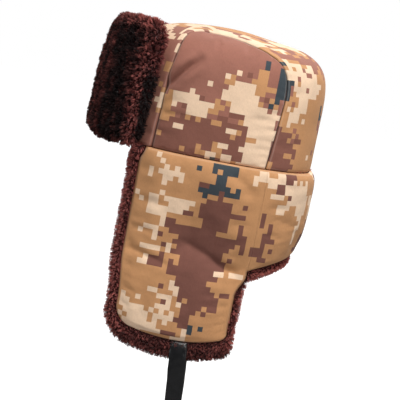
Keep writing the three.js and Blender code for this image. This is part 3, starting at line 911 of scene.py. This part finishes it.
def pelt(name, pad, count, length, seed, clump, width, tuft_size, lay=(0, 0, -0.4), dark=None, gloomy=0.5,
         light=None, steps=2):
    """Short curly tufts of tuft_size strands all over the shown part of a fur pad. Each strand is a ribbon of
    some steps; dark and light give how much darker or paler the fur is at each root."""
    rng = np.random.default_rng(seed)
    mesh = pad.data
    total = len(mesh.vertices)
    points, normals, show = (np.empty(total * size, np.float32) for size in (3, 3, 1))
    mesh.vertices.foreach_get("co", points)
    mesh.vertices.foreach_get("normal", normals)
    mesh.attributes["show"].data.foreach_get("value", show)
    points, normals = points.reshape(-1, 3) / MM, normals.reshape(-1, 3)
    corners = np.empty(len(mesh.polygons) * 4, np.int32)
    mesh.loops.foreach_get("vertex_index", corners)
    corners = corners.reshape(-1, 4)
    p, q, r, t = (points[corners[:, k]] for k in range(4))
    area = np.linalg.norm(np.cross(r - p, t - q), axis=1) / 2 * show[corners].mean(1)
    face = rng.choice(len(corners), count, p=area / area.sum())
    u, v = rng.uniform(0, 1, (count, 1)), rng.uniform(0, 1, (count, 1))
    shares = ((1 - u) * (1 - v), u * (1 - v), u * v, (1 - u) * v)
    root = sum(share * points[corners[face, k]] for k, share in enumerate(shares))
    normal = unit(sum(share * normals[corners[face, k]] for k, share in enumerate(shares)))
    root = root - normal * 0.6
    flow = np.stack([waves(root[:, 1] + 0.6 * root[:, 0], root[:, 2], seed + k, 26) for k in range(3)], -1)
    aim = unit(normal + np.array(lay) * 0.6 + 0.3 * flow + rng.normal(0, 0.13, (count, 3)))
    long = length * rng.uniform(0.8, 1.08, count) * (1 + 0.1 * waves(root[:, 1], root[:, 2], seed + 9, 14))
    tip = root + aim * long[:, None]
    # Each tip is drawn towards the tip of its tuft's middle strand.
    middles = rng.choice(count, max(count // tuft_size, 8), replace=False)
    tree = kdtree.KDTree(len(middles))
    for i, j in enumerate(middles):
        tree.insert(tip[j], i)
    tree.balance()
    tuft = np.array([tree.find(place)[1] for place in tip.tolist()])
    away = tip - tip[middles][tuft]
    apart = np.linalg.norm(away, axis=1, keepdims=True)
    tip = tip - away * 0.42 * np.exp(-((apart / (clump * 1.5)) ** 2))
    swirl = unit(rng.normal(0, 1, (len(middles), 3)))[tuft]
    side = unit(np.cross(aim, rng.normal(0, 1, (count, 3))))
    curl = (unit(np.cross(aim, swirl)) * 0.17 + rng.normal(0, 0.05, (count, 3))) * long[:, None]
    rows = []
    for k in range(steps + 1):
        share = k / steps
        centre = root + (tip - root) * share + curl * math.sin(math.pi * share)
        centre = centre + swirl * (0.12 * long * share)[:, None]
        half = side * width / 2 * (1 - 0.62 * share**1.5)
        rows += [centre - half, centre + half]
    each = 2 * steps + 2
    base = np.arange(count)[:, None] * each
    quads = np.concatenate([base + np.array([2 * k, 2 * k + 1, 2 * k + 3, 2 * k + 2]) for k in range(steps)])
    tone = 0.45 + 0.11 * rng.normal(0, 1, len(middles))[tuft] + 0.08 * rng.normal(0, 1, count)
    tone += 0.32 * waves(root[:, 1] + 0.8 * root[:, 0], root[:, 2], seed + 10, 11)
    tone = np.clip(tone + (0 if light is None else light(root)), 0, 1.25)
    patchy = waves(root[:, 1] + root[:, 0], root[:, 2], seed + 12, 26)
    gloom = gloomy * smooth(patchy, -0.1, 0.9)
    if dark is not None:
        shaded = dark(root) * (1 + 0.3 * patchy) - 0.4 * smooth(tone, 0.8, 1.1)
        gloom = np.clip(np.maximum(gloom * 0.7, shaded), 0, 0.97)
    obj = make_object(name, np.stack(rows, 1).reshape(-1, 3), [quads], floats={
        "along": np.tile(np.repeat(np.arange(steps + 1) / steps, 2), count),
        "tone": np.repeat(tone, each), "dark": np.repeat(gloom, each)})
    obj.data.materials.append(fur_look)
    return obj


def fur_pad(name, outer, inner, show_outer, show_inner, seed):
    """The dense lower part of the pile, lumpy where it shows."""
    for face, other, shown, step in ((outer, inner, show_outer, 0), (inner, outer, show_inner, 1)):
        away = outward(inner) * (-1 if step == 0 else 1)
        towards = np.sign(np.einsum("ijk,ijk->ij", away, face - other).mean())
        lumps = 0.5 * waves(face[..., 1] + 0.7 * face[..., 0], face[..., 2], seed + step, 9, 3)
        face += away * (towards * lumps * shown)[..., None]
    show = np.concatenate([show_outer.ravel(), show_inner.ravel()])
    piece = shell(name, outer, inner, np.zeros((*outer.shape[:2], 2)))
    piece.data.attributes.new("show", "FLOAT", "POINT").data.foreach_set("value", show.astype(np.float32))
    all_smooth(piece)
    piece.data.update()
    return piece


def eased(low, high, count):
    """Numbers from low to high, closer together at both ends."""
    t = np.linspace(0, 1, count)
    return lerp(low, high, 0.35 * t + 0.65 * (0.5 - 0.5 * np.cos(math.pi * t)))


def fur_depths(s, t, outline, fur_outline):
    """Depth of the pad's outer and inner face: thin under the cloth, and a round roll beyond its edge."""
    to_edge, _ = from_line(s, t, fur_outline)
    to_cloth, _ = from_line(s, t, outline)
    closed = np.concatenate([outline, [[outline[-1, 0], 60], [outline[0, 0], 60]]])
    to_cloth = np.where(inside(s, t, closed), to_cloth, -to_cloth)
    full = np.sqrt(1 - np.clip(1 - to_edge / 8, 0, 1) ** 2)
    beyond = smooth(to_cloth, -0.3, -3.0)
    outer = lerp(9.5, lerp(7.3, 3.2, beyond), np.maximum(full, smooth(to_cloth, -1.5, -0.3)))
    inner = lerp(9.5, 15.0, full)
    return outer, inner, beyond


def make_ear_fur(side, outline, fur_outline):
    name = "left" if side > 0 else "right"
    u, v = grid(76, 110, eased)
    edge = SPLIT - FUR_GAP
    flat = ear_place(EAR_FUR, u, v, 9.5, edge)
    s, t = flat[..., 1], flat[..., 2]
    outer_depth, inner_depth, beyond = fur_depths(s, t, outline, fur_outline)
    # The border bunches up at the top of the front edge, under the visor.
    bunch = np.exp(-(((s + 74) / 9) ** 2 + ((t + 8) / 14) ** 2))
    outer = ear_place(EAR_FUR, u, v, outer_depth - 3.5 * bunch * beyond, edge)
    inner = ear_place(EAR_FUR, u, v, inner_depth, edge)
    for layer in (outer, inner):
        layer[..., 1] -= 2.5 * bunch
        layer[..., 0] -= flap_bend(s, t)
    pad = fur_pad(f"{name}_ear_flap_fur_ground", outer * (side, 1, 1), inner * (side, 1, 1), beyond,
                  smooth(-t, 2, 8) * 0.8 + 0.2, 101)
    # Paler tips all round, and darker, less pale tips along the bottom edge: painted shade where the border
    # faces down.
    pile = pelt(f"{name}_ear_flap_fur_pile", pad, 48000, 4.4, 103 + side, 2.4, 0.66, 10,
                dark=lambda root: 0.5 * smooth(-root[:, 2], 184, 200), gloomy=0.05,
                light=lambda root: 0.8 - 0.6 * smooth(-root[:, 2], 180, 200))
    hang_ear(pad)
    hang_ear(pile)
    dress(pad, fur_ground_look, "burgundy_fur", 0.4, f"{name}_ear_flap_fur")


def make_neck_fur(outline, fur_outline, middle):
    u, v = np.meshgrid(np.linspace(0, 1, 150), eased(0, 1, 56))
    edge = SPLIT + FUR_GAP
    flat = neck_place(NECK_OVERHANG, u, v, 0, edge)
    s = SPLIT + run_of(flat, 1)
    s = np.where(s > middle, 2 * middle - s, s)
    outer_depth, inner_depth, beyond = fur_depths(s, flat[..., 2], outline, fur_outline)
    outer = neck_place(NECK_OVERHANG, u, v, outer_depth, edge)
    inner = neck_place(NECK_OVERHANG, u, v, inner_depth, edge)
    pad = fur_pad("neck_flap_fur_ground", outer, inner, beyond, smooth(-flat[..., 2], 2, 8) * 0.8 + 0.2, 105)
    pile = pelt("neck_flap_fur_pile", pad, 44000, 4.4, 107, 2.4, 0.66, 10, gloomy=0.05,
                light=lambda root: 0.76)
    hang_neck(pad)
    hang_neck(pile)
    dress(pad, fur_ground_look, "burgundy_fur", 0.4, "neck_flap_fur")


# ---- Visor ----

def visor_stand(z):
    return 1.8 - 6 * smooth(z, 70, CROWN_H)


def visor_place(u, v, top, inset, offset):
    """Points of a visor layer: u runs from the wearer's left round the front to the right, v upwards."""
    z = lerp(0.8, top, v)
    rise = z / CROWN_H
    out = visor_stand(z) + offset
    a, b = CROWN_A + out, CROWN_B + out
    end = lerp(-75, -64, rise) - inset - corner_cut(20, top - z) - 0.6 * corner_cut(14, z - 0.8)
    start = np.arcsin((-end / b) ** (PLAN / 2))
    angle = lerp(start, math.pi - start, u)
    x = a * np.sign(np.cos(angle)) * power(np.abs(np.cos(angle)), 2 / PLAN)
    return np.stack([x, -b * power(np.sin(angle), 2 / PLAN), z], -1)


def make_visor():
    """A padded cloth shell that stands against the crown, with a deep pile on its front."""
    u, v = grid(170, 70)
    back = visor_place(u, v, 122, 5, 0)
    front = visor_place(u, v, 122, 5, 5.8)
    first, last, low, high = to_edges(back)
    far = np.minimum(np.minimum(first, last), np.minimum(low + 4, high))
    s, t = CENTRE_START + first, back[..., 2]
    sag = -1.6 * (1 - smooth(far, 0, 4)) + 0.5 * waves(s, t, 121, 50)
    back = back - outward(back, (0, 0, 60)) * sag[..., None] * 0.6
    body = shell("visor_padded_shell", back, front, np.stack([s, t], -1), far / 6 + 0.3)
    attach(body, "visor")
    dress(body, camo_visor, "camo_cloth", 0.8, "visor_shell", "visor_stiffener")

    u, v = grid(150, 76, eased)
    flat = visor_place(u, v, 125, 2, 12)
    first, last, low, high = to_edges(flat)
    far = np.minimum(np.minimum(first, last), np.minimum(low, high))
    across, rise = np.abs(2 * u - 1), v
    pile = lerp(lerp(23.4, 17.4, rise), 12.0, across**3) - 4.2
    full = np.sqrt(1 - np.clip(1 - far / 15, 0, 1) ** 2)
    under = np.sqrt(1 - np.clip(1 - far / 4, 0, 1) ** 2)
    outer = visor_place(u, v, 125, 2, lerp(10.0, 6.2, under))
    inner = visor_place(u, v, 125, 2, 10.0 + (pile - 3.0) * full)
    pad = fur_pad("visor_fur_ground", outer, inner, 1 - smooth(far, 3, 5), np.ones(u.shape), 123)

    def gloom(root):
        """Near black in the middle of the front and of each side, and painted shadow in the gap beside the
        crown.
        """
        y, z = root[:, 1], root[:, 2]
        half = 15 + 6 * np.abs(z - 62) / 50
        middle = np.exp(-np.abs((y + 109 - 7 * z / 110) / half) ** 3)
        front = 0.85 * smooth(74 - np.abs(root[:, 0]), 0, 25) * smooth(-y, 86, 104)
        sides = 1.05 * middle * smooth(np.abs(root[:, 0]), 20, 50)
        shaded = smooth(y, -85, -79) * smooth(z, 82, 66)
        return np.maximum(np.maximum(sides, front) * smooth(z, -6, 8) * smooth(z, 132, 112), shaded)

    def light(root):
        """Painted highlight: paler tips along the top, and at the front and rear edges."""
        y, z = root[:, 1], root[:, 2]
        top = 0.9 * smooth(z, 112, 126) * smooth(y, -118, -90)
        return top + 0.35 * smooth(y, -97, -82) * smooth(y, -76, -82) + 0.3 * smooth(-y, 120, 128)

    pile = pelt("visor_fur_pile", pad, 50000, 6.2, 125, 4.5, 0.95, 16, (0, 0, -0.2), gloom, light=light)
    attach(pad, "visor")
    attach(pile, "visor")
    dress(pad, fur_ground_look, "burgundy_fur", 0.5, "visor_fur")


# ---- The hat ----

add_camera()
leather_look = leather()
for side in (1, -1):
    make_strap(side)
metal_look = stud_metal()
for node in ("left_stud_cap", "right_stud_cap", "left_stud_socket", "right_stud_ball"):
    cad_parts[node].data.materials.clear()
    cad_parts[node].data.materials.append(metal_look)
add_studio()

# The cloth's prints, as camo() describes them, with painted shade in the darker browns.
camo_side_left = camo("camo_left_side_panel", BROWN, [
    # The lower band is painted shade on the crown's lower wall.
    (SHADED_BROWN, [(0, 8, 110, 34)], None, 3),
    (TAN, [
        (-7, 52, 8, 8), (0, 38, 8, 4), (36, 88, 5, 9), (27, 87, 5, 4), (5, 80, 6, 6), (43, 79, 9, 4),
        (19, 27, 5, 8), (33, 28, 9, 6), (-55, 35, 7, 4), (-53, 50, 3.4, 8), (-14, 9, 4, 6), (4, 12, 5, 9),
        (-28, 40, 10, 3.4), (20, 4, 8, 5), (-60, 18, 3, 4), (-30, 6, 4, 2.8), (38, 58, 5, 8),
        (-54, 60, 3, 3), (-18, 62, 5, 2.8), (-48, 38, 4, 3), (54, 62, 5, 3), (-58, 46, 2.8, 2.8)
    ], None, 3.4),
    (CREAM, [
        (19, 66, 19, 17), (27, 78, 8, 6), (10, 76, 8, 6), (34, 50, 16, 14), (46, 40, 14, 18),
        (52, 54, 8, 6), (41, 12, 17, 20), (50, 24, 9, 22), (-24, 49, 16, 9), (-45, 55, 5, 9),
        (-13, 73, 3, 3), (-38, 26, 3.4, 6.5), (9, 17, 4, 5), (-1, 82, 3.2, 4), (-3, 6, 4.4, 6),
        (12, 3, 6, 3.4), (10, 88, 3.4, 5), (17, 33, 4.4, 4), (-28, 60, 8, 3), (-5, 41, 3, 2.8)
    ], None, 2.8),
    (SHADED_BROWN, [
        (16, 48, 6.5, 4), (27, 35, 4.5, 4), (44, 69, 4, 6), (15, 38, 4, 2.6), (50, 82, 3, 3),
        (-37, 49, 4.4, 2.8), (20, 12, 5, 8), (29, 24, 3, 2.8), (22, 90, 4, 2.8), (28, 8, 3, 6),
        (-20, 58, 3, 2.6)
    ], None, 2.6),
    (TAN, [
        (6, 59, 3, 5), (34, 27, 5, 2.8), (40, 64, 3, 7), (30, 45, 2.8, 2.6), (50, 72, 4, 2.6),
        (22, 42, 2.8, 2.6)
    ], None, 2),
    (SLATE, [
        (57, 88, 6.5, 19), (54, 68, 6, 3.4), (36, 103, 3.2, 2.8), (47, 93, 2.8, 2.6), (1, 2, 4, 2)
    ], None, 2.8),
], 1)
camo_side_right = camo("camo_right_side_panel", BROWN, [
    (TAN, [], (60, 0.5, -200), 6),
    (CREAM, [], (52, 0.44, -200), 5),
    (SLATE, [], (30, 0.27, -200), 4),
    (BROWN, [], (15, 0.34, -200), 4),
    (TAN, [], (14, 0.32, -200), 4),
], 2)
camo_centre = camo("camo_centre_panel", TAN, [
    # The first patch is painted shade low on the front of the crown.
    (SHADED_BROWN, [(74, 22, 20, 19), (64, 38, 6, 4)], None, 5),
    (BROWN, [
        (104, 118, 20, 9), (70, 330, 60, 128), (170, 40, 24, 30), (200, 120, 20, 24), (72, 124, 6, 3),
        (84, 138, 12, 4), (66, 150, 3, 10), (70, 176, 5, 12), (92, 160, 10, 7), (86, 38, 5, 4)
    ], (64, 0.42, 112), 6),
    (TAN, [
        (61, 306, 5, 5), (62, 262, 5, 5), (90, 24, 4, 10), (76, 17, 3.4, 3), (63, 320, 3, 3),
        (78, 36, 3.4, 3), (84, 10, 3, 3), (62, 282, 4, 4)
    ], None, 3.4),
    (CREAM, [
        (72, 98, 15, 14), (92, 90, 22, 20), (76, 58, 14, 9), (60, 296, 3.4, 6), (62, 186, 4, 9),
        (60, 206, 3.4, 7), (84, 190, 16, 8), (120, 214, 22, 12), (74, 136, 7, 5), (110, 150, 18, 10),
        (64, 226, 5, 5), (84, 72, 10, 6), (92, 225, 12, 8), (62, 170, 4, 5), (63, 116, 5, 5),
        (61, 155, 4, 8), (66, 180, 4, 9), (60, 236, 4, 9), (67, 246, 5, 5), (68, 208, 4, 7),
        (74, 166, 5, 5), (60, 144, 3, 5), (78, 228, 5, 6), (76, 150, 5, 4)
    ], (44, 0.36, 112), 5),
    (BROWN, [
        (73, 97, 3, 3), (66, 84, 2.8, 4), (80, 74, 4, 2.8), (94, 100, 3, 2.8), (90, 84, 3, 2.8),
        (82, 108, 4, 2.8), (70, 70, 2.6, 3), (72, 190, 4, 3), (78, 128, 5, 3), (66, 130, 3, 3),
        (76, 44, 3, 2.8), (65, 162, 3, 6), (61, 196, 3, 5), (66, 216, 3, 6), (63, 244, 3, 4),
        (70, 232, 3, 4)
    ], None, 3),
    (TAN, [
        (75, 91, 2.8, 3), (70, 105, 3, 3), (92, 64, 5, 4), (100, 74, 4, 8), (94, 112, 3, 3),
        (66, 52, 3, 2.8)
    ], None, 3),
    (SLATE, [(60, 86, 4.4, 18), (63, 70, 3, 3), (130, 60, 6, 8)], (30, 0.26, 112), 4),
    (BROWN, [], (15, 0.33, 100), 4),
    (CREAM, [], (14, 0.3, 100), 4),
], 3)
camo_curtain = camo("camo_curtain", TAN, [
    # The curtain's brown patches are a darker brown: painted shade.
    (DEEP_SHADED_BROWN, [
        (16, -56, 17, 20), (8, -84, 34, 13), (5, -112, 32, 18), (11, -138, 22, 14), (5, -160, 10, 14),
        (46, -72, 4, 9), (68, -87, 12, 9), (75, -68, 3, 7), (-35, -82, 5, 4.4), (-36, -110, 5, 5),
        (41, -52, 3.4, 6), (-11, -60, 10, 3), (-21, -73, 8, 3), (47, -86, 4, 6), (40, -97, 3, 7),
        (-30, -94, 4, 8), (57, -76, 2.8, 6), (82, -74, 2.8, 3), (72, -58, 2.8, 5), (66, -52, 2.7, 4),
        (140, -80, 8, 12)
    ], (56, 0.46, 122), 5),
    (TAN, [
        (-13, -67, 9, 4), (-21, -94, 3.4, 4), (-24, -111, 3.4, 8), (18, -163, 10, 3), (38, -88, 2.8, 5),
        (37, -58, 2.8, 8), (47, -102, 8, 8), (-15, -107, 4.4, 2.8), (40, -127, 8, 7), (0, -149, 4, 2.6),
        (-2, -164, 3, 6), (19, -172, 9, 6), (36, -142, 4, 4), (36, -74, 2.8, 4), (52, -86, 2.7, 8)
    ], (18, 0.34, 122), 2.8),
    (CREAM, [
        (-40, -24, 7, 10), (-27, -17, 6, 3), (-25, -27, 3, 7), (-44, -11, 3.4, 2.8), (-51, -6, 2.8, 4),
        (-55, -26, 2.8, 5.5), (-42, -54, 13, 12), (-24, -50, 12, 4.4), (-26, -57, 8, 4), (-50, -62, 5, 5),
        (-35, -70, 5, 6), (-62, -49, 3, 2.7), (-47, -78, 6, 2.7), (-41, -90, 3.4, 7), (-47, -100, 7, 3.4),
        (-25, -99, 3, 4), (-56, -87, 3, 3), (-48, -116, 3, 4.5), (-32, -125, 3, 2.8), (-14, -135, 2.8, 5),
        (-8, -141, 4.4, 2.8), (-33, -142, 6, 2.7), (-20, -149, 8, 6), (-43, -151, 3, 2.7),
        (-61, -158, 5, 7), (-17, -157, 8, 3), (-50, -172, 16, 10), (-34, -181, 26, 8), (-20, -166, 9, 3),
        (-8, -171, 3, 5), (12, -178, 3, 2.8), (6, -185, 3, 4), (-3, -190, 6, 3.4), (28, -119, 4.4, 2.7),
        (45, -115, 9, 2.8), (72, -10, 22, 6), (88, -18, 16, 9), (78, -24, 6, 4), (92, -33, 6, 7),
        (105, -24, 12, 14), (116, -34, 8, 24), (84, -37, 3, 5), (113, -66, 4, 10)
    ], (48, 0.4, 122), 4),
    (SLATE, [
        (10, -12, 9, 9), (12, -25, 12, 9), (3, -33, 7, 5), (24, -11, 4, 4), (27, -18, 3, 2.8),
        (23, -172, 3, 3), (11, -176, 3, 3), (-10, -10, 2.8, 2.7), (32, -29, 3, 4), (22, -31, 5, 3)
    ], (28, 0.27, 122), 3),
    (DEEP_SHADED_BROWN, [
        (-1, -25, 4, 4), (17, -32, 4, 3), (-58, -19, 3, 2.8), (-13, -187, 3, 3), (26, -186, 3, 3),
        (-24, -138, 2.8, 6), (-22, -152, 3, 2.7), (86, -8, 2.8, 2.7), (98, -6, 2.8, 2.7),
        (-37, -124, 3, 2.8), (40, -137, 3, 2.8), (33, -147, 2.8, 5), (25, -155, 4, 2.7), (-6, -181, 2.8, 7),
        (-6, -166, 2.8, 3), (64, -98, 3, 2.8), (82, -19, 2.8, 2.7), (92, -28, 2.8, 2.8)
    ], (15, 0.32, 122), 3),
    (TAN, [
        (14, -11, 3, 2.8), (20, -17, 3, 2.8), (10, -36, 4.4, 2.8), (-38, -49, 2.8, 5.5),
        (92, -13, 2.8, 2.7), (84, -25, 2.8, 2.7), (-60, -166, 3.4, 2.7), (-58, -176, 3.4, 4),
        (-26, -172, 8, 2.7), (-14, -178, 7, 2.7), (44, -46, 3, 2.8), (-41, -66, 4, 2.7), (100, -38, 3, 2.8)
    ], None, 2),
], 0)
camo_visor = camo("camo_visor_back", TAN, [
    (BROWN, [], (60, 0.48, -200), 6),
    (CREAM, [], (52, 0.42, -200), 5),
    (SLATE, [], (30, 0.26, -200), 4),
], 7)
satin_look = satin()
fur_look = fur_tips("burgundy_fur_tips", (0.055, 0.012, 0.012), (0.135, 0.027, 0.025), (0.46, 0.135, 0.115))
fur_ground_look = fur_ground("burgundy_fur_ground", (0.07, 0.018, 0.017))

for side in (1, -1):
    make_side_panel(side)
make_centre_panel()
make_lining()
edge_line, back_middle = curtain_outline(EAR, 0)
fur_line, _ = curtain_outline(EAR_FUR, NECK_OVERHANG)
for side in (1, -1):
    make_ear_shell(side, edge_line, back_middle)
make_neck_shell(edge_line, back_middle)
for side in (1, -1):
    make_ear_fur(side, edge_line, fur_line)
make_neck_fur(edge_line, fur_line, back_middle)
make_visor()
